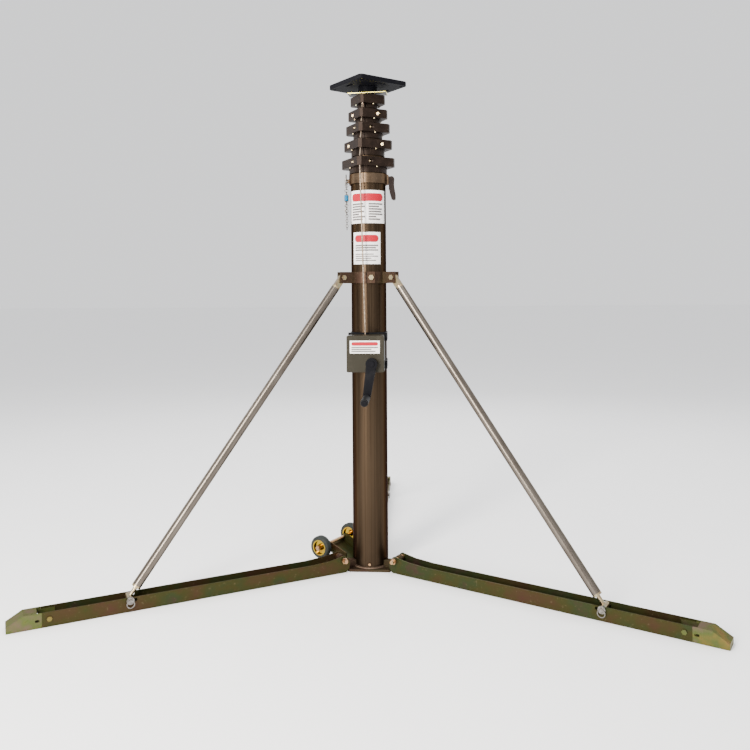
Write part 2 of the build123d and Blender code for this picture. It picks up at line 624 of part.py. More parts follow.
# ================================================================ winch straps
# Two steel straps round the mast that carry the winch on its back.
with BuildPart() as winch_straps:
    for z in STRAP_Z:
        z0 = z - STRAP_HALF
        z1 = z + STRAP_HALF
        ring(TUBE_R[0] + STRAP_T, TUBE_R[0] - OVER, z0, z1)
        block(BOX_X0 - 1, STRAP_X, BOX_Y1, -61, z0, z1)
        block(BOX_X1, STRAP_X, BOX_Y1 - 26, -62, z0, z1)
    ring(TUBE_R[0], 0, STRAP_Z[0] - STRAP_HALF - OVER, STRAP_Z[1] + STRAP_HALF + OVER, Mode.SUBTRACT)
save(winch_straps.part, "winch_straps")


# ================================================================ winch gearing
# A pinion on the crank shaft turns the wheel of the rope drum.
def gear_outline(count, shrink):
    """Involute outline of a stub-tooth spur gear, thinned by shrink for backlash."""
    press = radians(PRESSURE)
    rp = MODULE * count / 2
    rb = rp * cos(press)
    ra = rp + ADDENDUM
    rf = rp - 1.05 * MODULE
    start = max(rb, rf)
    half = (pi * MODULE / 4 - shrink) / rp
    pts = []
    for n in range(count):
        c = 2 * pi * n / count
        flank = []
        for m in range(6):
            r = start + (ra - start) * m / 5
            u = acos(min(1, rb / r))
            flank.append((r, half + tan(press) - press - (tan(u) - u)))
        root = flank[0][1] + 0.02
        pts.append((rf * cos(c - root), rf * sin(c - root)))
        pts += [(r * cos(c - a), r * sin(c - a)) for r, a in flank]
        pts += [(r * cos(c + a), r * sin(c + a)) for r, a in reversed(flank)]
        pts.append((rf * cos(c + root), rf * sin(c + root)))
    return pts


# The angle of the line of centres, so that a tooth of one meets a gap of the other.
LINE = degrees(atan2(DRUM_Z - CRANK_Z, DRUM_X - CRANK_X))

with BuildPart() as pinion_shaft:
    with BuildSketch(Plane.XZ.offset(OVER - GEAR_Y - 2)):
        with Locations(Location((CRANK_X, CRANK_Z), LINE)):
            Polygon(*gear_outline(PINION_N, TOOTH_THIN), align=None)
    extrude(amount=GEAR_W + 2)
    y_bar(CRANK_X, CRANK_Z, BOX_Y1, BOX_Y0 - HUB_GAP, BEARING_R)
save(pinion_shaft.part, "pinion_shaft")

with BuildPart() as winch_drum:
    with BuildSketch(Plane.XZ.offset(-GEAR_Y)):
        with Locations(Location((DRUM_X, DRUM_Z), LINE + 180 + 180 / GEAR_N)):
            Polygon(*gear_outline(GEAR_N, TOOTH_THIN), align=None)
    extrude(amount=GEAR_W)
    y_bar(DRUM_X, DRUM_Z, GEAR_Y, GEAR_Y + FLANGE_T, FLANGE_R)
    y_bar(DRUM_X, DRUM_Z, DRUM_BACK_Y - FLANGE_T, DRUM_BACK_Y, FLANGE_R)
    y_bar(DRUM_X, DRUM_Z, GEAR_Y, DRUM_BACK_Y, DRUM_R)
    y_bar(DRUM_X, DRUM_Z, BOX_Y0 + BOX_T + SLIP, BOX_Y1, BEARING_R)
save(winch_drum.part, "winch_drum")

# ================================================================ crank
# Cast arm with a round hub on the shaft and a spindle for the grip, closed by a bolt head.
FRONT_Y = BOX_Y0 - HUB_GAP
SPINDLE_END = FRONT_Y - HUB_H + 2 - GRIP_L
with BuildPart() as crank_arm:
    y_bar(CRANK_X, CRANK_Z, FRONT_Y, FRONT_Y - HUB_H, HUB_R)
    across = Vector(-ARM.Z, 0, ARM.X)
    with BuildSketch(Plane.XZ.offset(2 - FRONT_Y)):
        Polygon((CRANK_X + across.X * ARM_ROOT, CRANK_Z + across.Z * ARM_ROOT),
                (CRANK_X - across.X * ARM_ROOT, CRANK_Z - across.Z * ARM_ROOT),
                (GRIP[0] - across.X * GRIP_R, GRIP[1] - across.Z * GRIP_R),
                (GRIP[0] + across.X * GRIP_R, GRIP[1] + across.Z * GRIP_R), align=None)
        with Locations(GRIP):
            Circle(GRIP_R)
    extrude(amount=ARM_T)
    y_bar(*GRIP, FRONT_Y - ARM_T, SPINDLE_END - 4, SPINDLE_R)
    y_bar(*GRIP, SPINDLE_END, SPINDLE_END - 6, NUT_R)
    y_bar(CRANK_X, CRANK_Z, FRONT_Y - HUB_H, FRONT_Y - HUB_H - 4, NUT_R)
save(crank_arm.part, "crank_arm")

with BuildPart() as crank_grip:
    grip_y = FRONT_Y - 2 - ARM_T - SLIP
    y_bar(*GRIP, grip_y, SPINDLE_END + SLIP, GRIP_R)
    fillet(crank_grip.edges().filter_by(GeomType.CIRCLE), GRIP_EDGE)
    y_bar(*GRIP, grip_y + OVER, SPINDLE_END - OVER, SPINDLE_R + RUN, Mode.SUBTRACT)
save(crank_grip.part, "crank_grip")

# ================================================================ base fasteners
# The three leg hinge bolts with their sleeves and nuts, the screw at the foot of the mast
# and the wheel axle with its nuts.
with BuildPart() as base_fasteners:
    for k, az in enumerate(LEG_AZ):
        n = NEAR_SIDE[k]
        face = CH_HALF + SLIP
        cross_bar(az, HINGE_RHO, HINGE_Z, -n * face, n * (CH_HALF + HINGE_THREAD), HINGE_BOLT_R)
        cross_hex(az, HINGE_RHO, HINGE_Z, n * face, HINGE_NUT_R, n * HINGE_NUT_H)
        cross_hex(az, HINGE_RHO, HINGE_Z, -n * face, HINGE_NUT_R, -n * HINGE_HEAD_H)
        for s in (-1, 1):
            cross_bar(az, HINGE_RHO, HINGE_Z, s * LUG_HALF, s * (CH_IN - SLIP), SLEEVE_R)
    y_bar(0, PLATE_T + 14, -TUBE_R[0], -TUBE_R[0] - WELD, 4)
    cross_bar(WHEEL_AZ, AXLE_RHO, AXLE_Z, -WHEEL_SPAN - AXLE_END, WHEEL_SPAN + AXLE_END, AXLE_R)
    for s in (-1, 1):
        cross_hex(WHEEL_AZ, AXLE_RHO, AXLE_Z, s * (WHEEL_SPAN + WHEEL_W / 2 + SLIP), AXLE_NUT, s * 7)
save(base_fasteners.part, "base_fasteners")

# ================================================================ wheel bracket
# Folded bracket from the base plate up to the axle.
with BuildPart() as wheel_bracket:
    radial_plate(WHEEL_AZ, [(HEX_LONG - 4, PLATE_T), (HEX_LONG + 8, PLATE_T), (AXLE_RHO + 8, AXLE_Z - 12),
                            (AXLE_RHO + 12, AXLE_Z + 6), (AXLE_RHO - 4, AXLE_Z + 12),
                            (HEX_LONG - 4, PLATE_T + 34)], BRACKET_HALF)
    radial_plate(WHEEL_AZ, [(HEX_LONG - 8, PLATE_T + 3), (HEX_LONG + 9, PLATE_T + 3),
                            (AXLE_RHO + 14, AXLE_Z - 7), (AXLE_RHO + 18, AXLE_Z + 30),
                            (HEX_LONG - 8, PLATE_T + 60)], BRACKET_HALF - BRACKET_T, Mode.SUBTRACT)
    cross_bar(WHEEL_AZ, AXLE_RHO, AXLE_Z, -60, 60, AXLE_R, Mode.SUBTRACT)
    ring(TUBE_R[0] + WELD, 0, PLATE_T, AXLE_Z + 30, Mode.SUBTRACT)
save(wheel_bracket.part, "wheel_bracket")

# ================================================================ wheels
# Two transport wheels: a dished hub and a plain rubber tyre on each end of the axle.
for k, s in enumerate((1, -1)):
    inner = s * (WHEEL_SPAN - WHEEL_W / 2)
    outer = s * (WHEEL_SPAN + WHEEL_W / 2)
    with BuildPart() as hub:
        cross_bar(WHEEL_AZ, AXLE_RHO, AXLE_Z, inner, outer, HUB_RIM_R)
        for edge, floor in ((outer, outer - s * DISH_DEPTH), (inner, inner + s * DISH_DEPTH)):
            cross_bar(WHEEL_AZ, AXLE_RHO, AXLE_Z, edge, floor, DISH_R, Mode.SUBTRACT)
            cross_bar(WHEEL_AZ, AXLE_RHO, AXLE_Z, edge, floor, DISH_BOSS_R)
        cross_bar(WHEEL_AZ, AXLE_RHO, AXLE_Z, inner - s, outer + s, AXLE_R + RUN, Mode.SUBTRACT)
    save(hub.part, f"wheel_{k + 1}_hub")
    with BuildPart() as tyre:
        cross_bar(WHEEL_AZ, AXLE_RHO, AXLE_Z, inner, outer, WHEEL_R)
        fillet(tyre.edges().filter_by(GeomType.CIRCLE), TYRE_ROUND)
        cross_bar(WHEEL_AZ, AXLE_RHO, AXLE_Z, inner - s, outer + s, HUB_RIM_R, Mode.SUBTRACT)
    save(tyre.part, f"wheel_{k + 1}_tyre")

# ================================================================ top plate
# Adaptor plate on a short boss, with a slot in the middle of each side, a hole in each
# corner and a stud hole in the centre.
with BuildPart() as top_plate:
    with BuildSketch(Plane.XY.offset(TOP_Z)):
        with Locations(Location((0, 0), TOP_YAW)):
            RectangleRounded(2 * TOP_HALF, 2 * TOP_HALF, TOP_CORNER)
    extrude(amount=TOP_T)
    chamfer(top_plate.faces().sort_by(Axis.Z)[-1].edges(), 1)
    chamfer(top_plate.faces().sort_by(Axis.Z)[0].edges(), 1)
    ring(TOP_BOSS_R, 0, STRIP_Z + STRIP_T, TOP_Z)
    with BuildSketch(Plane.XY.offset(TOP_Z)):
        with PolarLocations(TOP_HOLE_RHO, 4, TOP_YAW + 45):
            Circle(TOP_HOLE_R)
        with PolarLocations(TOP_SLOT_RHO, 4, TOP_YAW):
            with Locations(Location((0, 0), 90)):
                SlotOverall(*TOP_SLOT)
    extrude(amount=TOP_T, mode=Mode.SUBTRACT)
    ring(STUD_R, 0, TOP_Z + TOP_T - STUD_DEPTH, TOP_Z + TOP_T, Mode.SUBTRACT)
save(top_plate.part, "top_plate")

# ================================================================ spacer strip
# Flat strip between the last head and the boss of the top plate.
with BuildPart() as spacer_plate:
    with BuildSketch(Plane.XY.offset(STRIP_Z)):
        with Locations(Location((0, 0), STRIP_YAW)):
            RectangleRounded(*STRIP, 3)
    extrude(amount=STRIP_T)
    ring(24, 0, HEAD_Z[4] + HEAD_H, STRIP_Z)
save(spacer_plate.part, "spacer_plate")

# ================================================================ ropes
# Outside rope: lower run from the drum to the fixed head, then one span per section.
with BuildPart() as rope_lower:
    entry = polar(GUIDE_R[0], FRONT, HEAD_Z[0] - 1)
    bar((DRUM_X + DRUM_ROPE_R, ROPE_Y, DRUM_Z + 8), entry, ROPE_R)
    bar(entry, polar(GUIDE_R[0], FRONT, HEAD_Z[0] + HEAD_H + 1), ROPE_R)
save(rope_lower.part, "rope_lower")
for i in range(1, 5):
    low = polar(GUIDE_R[i - 1], FRONT, HEAD_Z[i - 1] + HEAD_H + ROPE_LIFT)
    entry = polar(GUIDE_R[i], FRONT, HEAD_Z[i] - 1)
    end = HEAD_Z[i] + (HEAD_H + 1 if i < 4 else ROPE_ANCHOR - 1)
    with BuildPart() as span:
        bar(low, entry, ROPE_R)
        bar(entry, polar(GUIDE_R[i], FRONT, end), ROPE_R)
    save(span.part, f"rope_span_{i + 1}")

# ================================================================ safety chain
# Round links hanging from the lug of the clamp ring, each a quarter turn from the last.
links = []
for n in range(LINKS):
    turn = (90, 0, 0) if n % 2 else (0, 90, 0)
    z = CHAIN_LUG[0] + 1 - n * LINK_STEP
    with BuildPart() as link:
        with Locations(Location((CHAIN_X, CHAIN_Y, z), turn)):
            Torus(LINK_R, LINK_WIRE)
    links += list(link.part.solids())
save(Compound(children=links), "safety_chain")
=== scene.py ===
from math import cos, pi, radians, sin

import bmesh
import bpy
import numpy as np
from mathutils import Matrix, Vector


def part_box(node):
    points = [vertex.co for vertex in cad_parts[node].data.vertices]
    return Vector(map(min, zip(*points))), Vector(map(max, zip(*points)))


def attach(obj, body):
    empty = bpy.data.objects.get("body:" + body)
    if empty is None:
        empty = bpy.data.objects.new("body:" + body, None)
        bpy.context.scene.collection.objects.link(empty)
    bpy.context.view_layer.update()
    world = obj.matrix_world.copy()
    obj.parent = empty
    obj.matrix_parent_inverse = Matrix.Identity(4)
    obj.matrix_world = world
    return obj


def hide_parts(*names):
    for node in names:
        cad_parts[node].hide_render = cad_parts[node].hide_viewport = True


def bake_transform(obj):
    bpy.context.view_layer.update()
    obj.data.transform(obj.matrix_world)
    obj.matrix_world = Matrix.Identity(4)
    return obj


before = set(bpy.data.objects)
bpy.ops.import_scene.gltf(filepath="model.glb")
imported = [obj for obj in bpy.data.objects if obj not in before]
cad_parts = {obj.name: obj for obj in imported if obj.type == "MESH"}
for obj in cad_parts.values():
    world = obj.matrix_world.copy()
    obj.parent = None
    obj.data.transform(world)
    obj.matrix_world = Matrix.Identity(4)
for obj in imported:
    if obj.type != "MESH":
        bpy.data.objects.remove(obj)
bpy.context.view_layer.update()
MM = 0.001

# ---------------------------------------------------------------- camera, floor and light
# A tall stand on a pale seamless floor, seen from a little above half its height.
# Large soft lamps left, right and above give long highlights down the tubes.
SENSOR = 36.0
VIEW_SIZE = 750
FOCUS = 780.59
MIDDLE_X = 368.94
MIDDLE_Y = 282.0
EYE = Vector((0.173, -2.6695, 0.9398))
HEADING = radians(3.704)
TILT = radians(0.545)
ROLL = radians(-0.393)


def add_camera():
    """Level camera turned by its heading, then tilted and rolled a little."""
    data = bpy.data.cameras.new("camera")
    data.sensor_width = SENSOR
    data.lens = SENSOR * FOCUS / VIEW_SIZE
    data.shift_x = (VIEW_SIZE / 2 - MIDDLE_X) / VIEW_SIZE
    data.shift_y = -(VIEW_SIZE / 2 - MIDDLE_Y) / VIEW_SIZE
    data.clip_end = 60
    obj = bpy.data.objects.new("camera", data)
    turn = Matrix.Rotation(HEADING, 4, "Z") @ Matrix.Rotation(pi / 2 + TILT, 4, "X")
    obj.matrix_world = Matrix.Translation(EYE) @ turn @ Matrix.Rotation(ROLL, 4, "Z")
    bpy.context.scene.collection.objects.link(obj)
    bpy.context.scene.camera = obj


def add_lamp(name, place, aim, width, height, watts, tint):
    data = bpy.data.lights.new(name, "AREA")
    data.shape = "RECTANGLE"
    data.size = width
    data.size_y = height
    data.energy = watts
    data.color = tint
    obj = bpy.data.objects.new(name, data)
    obj.location = place
    obj.rotation_euler = (Vector(aim) - Vector(place)).to_track_quat("-Z", "Y").to_euler()
    bpy.context.scene.collection.objects.link(obj)


add_camera()
add_lamp("key_lamp", (-1.5, -3.1, 1.9), (0, 0, 1.0), 0.8, 2.6, 340, (1.0, 0.95, 0.88))
add_lamp("fill_lamp", (1.7, -3.0, 1.6), (0, 0, 0.8), 0.5, 2.2, 8, (1.0, 0.98, 0.95))
add_lamp("left_lamp", (-3.4, 0.6, 2.2), (0, 0, 0.7), 0.6, 2.4, 30, (0.95, 0.97, 1.0))
add_lamp("right_lamp", (3.4, 0.9, 2.0), (0, 0, 0.7), 0.4, 2.4, 14, (1.0, 0.98, 0.95))
add_lamp("back_lamp", (0.4, 3.4, 2.6), (0, 0, 0.9), 2.0, 1.4, 50, (1.0, 1.0, 1.0))
add_lamp("top_lamp", (0.0, -0.4, 4.2), (0, 0, 0), 4.0, 4.0, 140, (1.0, 1.0, 1.0))

world = bpy.data.worlds.new("studio")
world.use_nodes = True
world.node_tree.nodes["Background"].inputs["Color"].default_value = (0.98, 0.985, 1.0, 1)
world.node_tree.nodes["Background"].inputs["Strength"].default_value = 1.25
bpy.context.scene.world = world


# ---------------------------------------------------------------- shader maths
# A value on a surface is a socket; written with + - * / it adds its own maths nodes.
class Value:
    def __init__(self, tree, socket):
        self.tree = tree
        self.socket = socket

    def _maths(self, operation, a, b):
        node = self.tree.nodes.new("ShaderNodeMath")
        node.operation = operation
        for slot, item in enumerate((a, b)):
            if isinstance(item, Value):
                self.tree.links.new(item.socket, node.inputs[slot])
            else:
                node.inputs[slot].default_value = item
        return Value(self.tree, node.outputs[0])

    def __add__(self, other):
        return self._maths("ADD", self, other)

    def __radd__(self, other):
        return self._maths("ADD", other, self)

    def __sub__(self, other):
        return self._maths("SUBTRACT", self, other)

    def __rsub__(self, other):
        return self._maths("SUBTRACT", other, self)

    def __mul__(self, other):
        return self._maths("MULTIPLY", self, other)

    def __rmul__(self, other):
        return self._maths("MULTIPLY", other, self)

    def __truediv__(self, other):
        return self._maths("DIVIDE", self, other)

    def __pow__(self, other):
        return self._maths("POWER", self, other)

    def __gt__(self, other):
        return self._maths("GREATER_THAN", self, other)

    def __lt__(self, other):
        return self._maths("LESS_THAN", self, other)


class Finish:
    """One material: a Principled shader whose varying sockets take Values or colours."""

    def __init__(self, name, **constants):
        self.material = bpy.data.materials.new(name)
        self.material.use_nodes = True
        self.tree = self.material.node_tree
        self.shader = self.tree.nodes["Principled BSDF"]
        for socket, value in constants.items():
            self.shader.inputs[socket.replace("_", " ")].default_value = value
        self.object = self.node("ShaderNodeTexCoord", output="Object")

    def node(self, kind, settings=None, inputs=None, output=0):
        """Any node: settings are set first, then each socket gets its value or link."""
        node = self.tree.nodes.new(kind)
        for key, value in (settings or {}).items():
            if key == "stops":
                ramp = node.color_ramp
                while len(ramp.elements) < len(value):
                    ramp.elements.new(0.5)
                for element, (place, colour) in zip(ramp.elements, value):
                    element.position = place
                    element.color = (*colour, 1)
            else:
                setattr(node, key, value)
        for key, value in (inputs or {}).items():
            if isinstance(value, Value):
                self.tree.links.new(value.socket, node.inputs[key])
            else:
                node.inputs[key].default_value = value
        return Value(self.tree, node.outputs[output])

    def stretched(self, scale, turn=(0, 0, 0)):
        """Object coordinates scaled by direction, so a noise becomes streaks."""
        return self.node("ShaderNodeMapping", None,
                         {"Vector": self.object, "Scale": scale, "Rotation": turn})

    def noise(self, scale, where=None, detail=3.0, rough=0.5):
        return self.node("ShaderNodeTexNoise", None,
                         {"Vector": where or self.object, "Scale": scale, "Detail": detail,
                          "Roughness": rough}, "Fac")

    def spread(self, value, low, high, out_low=0.0, out_high=1.0):
        """Carries a value from one range into another and holds it there."""
        return self.node("ShaderNodeMapRange", None,
                         {"Value": value, "From Min": low, "From Max": high,
                          "To Min": out_low, "To Max": out_high})

    def mix(self, factor, a, b):
        """Between two colours, each a colour or a Value."""
        ins = {0: factor}
        for slot, colour in ((6, a), (7, b)):
            ins[slot] = colour if isinstance(colour, Value) else (*colour, 1)
        return self.node("ShaderNodeMix", {"data_type": "RGBA"}, ins, 2)

    def ramp(self, value, stops):
        return self.node("ShaderNodeValToRGB", {"stops": stops}, {"Fac": value})

    def bump(self, height, distance, strength=1.0):
        return self.node("ShaderNodeBump", None,
                         {"Height": height, "Distance": distance, "Strength": strength})

    def paint(self, **links):
        for socket, value in links.items():
            name = socket.replace("_", " ")
            if isinstance(value, Value):
                self.tree.links.new(value.socket, self.shader.inputs[name])
            elif isinstance(value, tuple):
                self.shader.inputs[name].default_value = (*value, 1)
            else:
                self.shader.inputs[name].default_value = value
        return self.material


def dress(material, *names):
    """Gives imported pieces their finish."""
    for name in names:
        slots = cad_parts[name].data.materials
        slots.clear()
        slots.append(material)


def surface(name, grid, body, material, close_u=False, close_v=False, seal=True, crease=35):
    """A new piece from a grid of points (rows u, columns v); closed ways wrap round.
    Seal merges the poles and turns every face outwards; crease is the sharp edge angle."""
    rows, cols = grid.shape[:2]
    i = np.arange(rows if close_u else rows - 1)
    j = np.arange(cols if close_v else cols - 1)
    a, b = np.meshgrid(i, j, indexing="ij")
    c, d = (a + 1) % rows, (b + 1) % cols
    faces = np.stack([a * cols + b, c * cols + b, c * cols + d, a * cols + d], -1).reshape(-1, 4)
    mesh = bpy.data.meshes.new(name)
    mesh.from_pydata(grid.reshape(-1, 3).tolist(), [], faces.tolist())
    if seal:
        work = bmesh.new()
        work.from_mesh(mesh)
        bmesh.ops.remove_doubles(work, verts=work.verts, dist=1e-6)
        bmesh.ops.recalc_face_normals(work, faces=work.faces)
        work.to_mesh(mesh)
        work.free()
    mesh.polygons.foreach_set("use_smooth", np.ones(len(mesh.polygons), bool))
    mesh.set_sharp_from_angle(angle=radians(crease))
    mesh.materials.append(material)
    piece = bpy.data.objects.new(name, mesh)
    bpy.context.scene.collection.objects.link(piece)
    if body:
        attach(piece, body)
    return piece


# ---------------------------------------------------------------- floor
# A wide plain pale floor, only for the picture.
FLOOR_HALF = 40.0
FLOOR_DROP = -0.001
floor_finish = Finish("pale_floor", Roughness=0.8)
floor_speck = floor_finish.noise(3.0)
floor_finish.paint(Base_Color=floor_finish.mix(floor_speck, (0.93, 0.93, 0.935), (0.96, 0.96, 0.965)))
floor_edges = (-FLOOR_HALF, FLOOR_HALF)
floor_grid = np.array([[(x, y, FLOOR_DROP) for y in floor_edges] for x in floor_edges])
floor = surface("floor", floor_grid, None, floor_finish.material, seal=False)

# ---------------------------------------------------------------- mast tubes
# Drawn aluminium tubes, anodised bronze. Drawing leaves fine lines along each tube, and
# sliding leaves a few bright rubs; handling dulls the finish in patches.
bronze = Finish("bronze_anodised", Metallic=0.95, Specular_Tint=(0.30, 0.20, 0.13, 1))
lines = bronze.noise(220.0, bronze.stretched((1, 1, 0.004)), 4.0, 0.6)
patches = bronze.noise(7.0, bronze.stretched((1, 1, 0.35)))
rubs = bronze.spread(bronze.noise(60.0, bronze.stretched((1, 1, 0.02))), 0.68, 0.74)
tint = bronze.mix(bronze.spread(lines, 0.3, 0.7), (0.030, 0.0195, 0.0118), (0.055, 0.0375, 0.0235))
tint = bronze.mix(bronze.spread(patches, 0.35, 0.7, 0.0, 0.45), tint, (0.021, 0.014, 0.009))
bronze.paint(Base_Color=bronze.mix(rubs * 0.3, tint, (0.105, 0.078, 0.052)),
             Roughness=bronze.spread(patches, 0.3, 0.7, 0.27, 0.37) + lines * 0.05,
             Normal=bronze.bump(lines, 0.00005, 0.25))
dress(bronze.material, "tube_1", "tube_2", "tube_3", "tube_4", "tube_5")

# ---------------------------------------------------------------- head castings
# Sand-cast blocks, machined and painted a near-black brown. The paint follows the grain
# of the casting, and it is rubbed thin in scattered streaky scuffs.
casting = Finish("dark_casting", Metallic=0.25, Specular_IOR_Level=0.2,
                 Specular_Tint=(0.6, 0.5, 0.45, 1))
grain = casting.noise(900.0, None, 5.0, 0.65)
cloud = casting.noise(38.0)
shade = casting.mix(casting.spread(cloud, 0.3, 0.7), (0.0071, 0.0045, 0.0033), (0.0152, 0.0096, 0.0069))
scuff = casting.spread(casting.noise(240.0, casting.stretched((1, 1, 0.15))), 0.66, 0.72)
casting.paint(Base_Color=casting.mix(scuff * 0.4, shade, (0.0446, 0.0304, 0.0215)),
              Roughness=casting.spread(cloud, 0.3, 0.7, 0.34, 0.48),
              Normal=casting.bump(grain, 0.00025, 0.45))
dress(casting.material, "head_1", "head_2", "head_3", "head_4", "head_5")

# ---------------------------------------------------------------- clamp ring
# Turned ring below the fixed head, lighter bronze, with fine turning marks round it.
ring_bronze = Finish("turned_bronze", Metallic=0.9, Specular_Tint=(0.35, 0.25, 0.17, 1))
ring_lines = ring_bronze.noise(500.0, ring_bronze.stretched((0.01, 0.01, 1)), 3.0)
blotch = ring_bronze.noise(24.0)
ring_bronze.paint(
    Base_Color=ring_bronze.mix(ring_bronze.spread(blotch, 0.3, 0.7),
                               (0.062, 0.041, 0.026), (0.092, 0.064, 0.042)),
    Roughness=ring_bronze.spread(ring_lines, 0.3, 0.7, 0.30, 0.44),
    Normal=ring_bronze.bump(ring_lines, 0.0001, 0.4))
dress(ring_bronze.material, "clamp_ring")

# ---------------------------------------------------------------- glides
# Turned nylon bushes and foot rings, off-white, greyed where they rub.
nylon = Finish("glide_nylon", Roughness=0.5, Subsurface_Weight=0.1)
wear = nylon.noise(60.0, nylon.stretched((1, 1, 0.1)))
nylon.paint(Base_Color=nylon.mix(nylon.spread(wear, 0.4, 0.7), (0.74, 0.72, 0.66), (0.50, 0.48, 0.43)),
            Roughness=nylon.spread(wear, 0.3, 0.7, 0.4, 0.6))
dress(nylon.material, *[f"glides_{n}" for n in range(1, 6)])


# ---------------------------------------------------------------- yellow zinc hardware
# Bolts, nuts, sheaves and fittings are plated and passivated: gold that turns to rose
# and green in soft patches, with fine darker flecks.
def yellow_zinc(name, gold, rose, green, scale, rough):
    finish = Finish(name, Metallic=1.0)
    drift = finish.noise(scale, None, 2.0)
    fine = finish.noise(scale * 14, None, 4.0)
    colour = finish.ramp(drift, [(0.30, rose), (0.44, gold), (0.56, gold), (0.70, green)])
    colour = finish.mix(finish.spread(fine, 0.55, 0.8, 0.0, 0.4), colour, (0.30, 0.22, 0.12))
    finish.paint(Base_Color=colour, Roughness=finish.spread(fine, 0.3, 0.7, rough - 0.07, rough + 0.1),
                 Normal=finish.bump(fine, 0.0001, 0.3))
    return finish.material


gold_hardware = yellow_zinc("gold_zinc_hardware",
                            (0.3472, 0.279, 0.1612), (0.2976, 0.1922, 0.1364),
                            (0.2852, 0.2852, 0.1984), 90.0, 0.30)
copper_hardware = yellow_zinc("copper_zinc_hardware",
                              (0.372, 0.2232, 0.1178), (0.3224, 0.1488, 0.0992),
                              (0.3348, 0.2728, 0.1488), 70.0, 0.30)
hub_gold = yellow_zinc("gold_wheel_hub",
                       (0.36, 0.23, 0.018), (0.24, 0.11, 0.014), (0.22, 0.18, 0.024), 45.0, 0.15)
dress(gold_hardware, *[f"hardware_{n}" for n in range(1, 6)], *[f"brace_{n}_ends" for n in (1, 2, 3)],
      "collar_bolts")
dress(copper_hardware, "base_fasteners")
dress(hub_gold, "wheel_1_hub", "wheel_2_hub")

# ---------------------------------------------------------------- spacer strip
# Strip of bright yellow sheet under the top plate; its underside, below height 1.6091, is coloured near black
# as painted shade.
strip_yellow = Finish("yellow_spacer_strip", Metallic=0.6)
strip_height = strip_yellow.node("ShaderNodeSeparateXYZ", None, {"Vector": strip_yellow.object}, "Z")
above = strip_height > 1.6091
smear = strip_yellow.noise(80.0)
strip_gold = strip_yellow.mix(smear, (0.80, 0.66, 0.12), (0.92, 0.82, 0.26))
# Near-black colour below the height line is painted shade under the strip; above it the strip is yellow.
strip_yellow.paint(Base_Color=strip_yellow.mix(above, (0.010, 0.009, 0.009), strip_gold),
                   Roughness=strip_yellow.spread(smear, 0.3, 0.7, 0.30, 0.42))
dress(strip_yellow.material, "spacer_plate")

# ---------------------------------------------------------------- leg channels
# Folded sheet steel with the same plating, on a large area: olive green and reddish brown
# in rainbow clouds over the sheet, with a few lighter spots.
def sheet_zinc(name, stops, rough):
    finish = Finish(name, Metallic=0.62, Specular_IOR_Level=0.2, Specular_Tint=(0.55, 0.48, 0.36, 1))
    clouds = finish.noise(9.0, None, 3.0, 0.55)
    films = finish.noise(30.0, None, 2.0)
    rolled = finish.noise(340.0, finish.stretched((0.15, 0.15, 1)), 3.0)
    where = clouds * 0.75 + films * 0.25
    colour = finish.ramp(finish.spread(where, 0.30, 0.68), stops)
    spot = finish.spread(finish.noise(130.0), 0.64, 0.72)
    finish.paint(Base_Color=finish.mix(spot * 0.35, colour, (0.12, 0.095, 0.055)),
                 Roughness=finish.spread(films, 0.3, 0.7, rough - 0.06, rough + 0.08),
                 Normal=finish.bump(rolled, 0.00008, 0.3))
    return finish.material


leg_zinc = sheet_zinc("olive_sheet_zinc", [(0.0, (0.0441, 0.021, 0.0134)), (0.28, (0.0378, 0.0252, 0.0109)),
                                           (0.52, (0.0311, 0.0294, 0.0092)), (0.74, (0.0235, 0.0311, 0.0118)),
                                           (1.0, (0.0378, 0.0218, 0.0168))], 0.38)
base_brown = sheet_zinc("brown_sheet_zinc", [(0.0, (0.0483, 0.0252, 0.0176)), (0.45, (0.0386, 0.0231, 0.016)),
                                             (0.75, (0.0412, 0.0294, 0.016)),
                                             (1.0, (0.0302, 0.0277, 0.0151))], 0.40)
nose_zinc = sheet_zinc("rainbow_sheet_zinc", [(0.0, (0.1265, 0.055, 0.0468)), (0.25, (0.1375, 0.099, 0.0275)),
                                              (0.50, (0.066, 0.0825, 0.0248)),
                                              (0.75, (0.1045, 0.0715, 0.0523)),
                                              (1.0, (0.0605, 0.0743, 0.0605))], 0.30)
dress(leg_zinc, "leg_1", "leg_2", "leg_3", "wheel_bracket")
dress(base_brown, "base_plate", "collar_band")
dress(nose_zinc, "leg_1_nose", "leg_2_nose", "leg_3_nose")

# ---------------------------------------------------------------- brace tubes
# Drawn steel tube, satin grey-brown plating with a bright line of light along it.
brace_steel = Finish("satin_brace_steel", Metallic=0.95, Specular_Tint=(0.34, 0.30, 0.26, 1))
brushed = brace_steel.noise(420.0, None, 3.0)
tarnish = brace_steel.noise(12.0)
brace_steel.paint(
    Base_Color=brace_steel.mix(brace_steel.spread(tarnish, 0.3, 0.7),
                               (0.0975, 0.0817, 0.0675), (0.1449, 0.1255, 0.1054)),
    Roughness=brace_steel.spread(brushed, 0.3, 0.7, 0.24, 0.36),
    Normal=brace_steel.bump(brushed, 0.00005, 0.25))
dress(brace_steel.material, "brace_1", "brace_2", "brace_3")

# ---------------------------------------------------------------- winch gearing
# Crank shaft with its pinion, and the rope drum with its gear: machined steel, kept bright
# by oil inside the housing.
bright = Finish("bright_zinc", Metallic=1.0)
spangle = bright.noise(260.0)
bright.paint(Base_Color=bright.mix(bright.spread(spangle, 0.3, 0.7),
                                   (0.3224, 0.3224, 0.3162), (0.4712, 0.4712, 0.4588)),
             Roughness=bright.spread(spangle, 0.3, 0.7, 0.18, 0.32))
dress(bright.material, "pinion_shaft", "winch_drum")
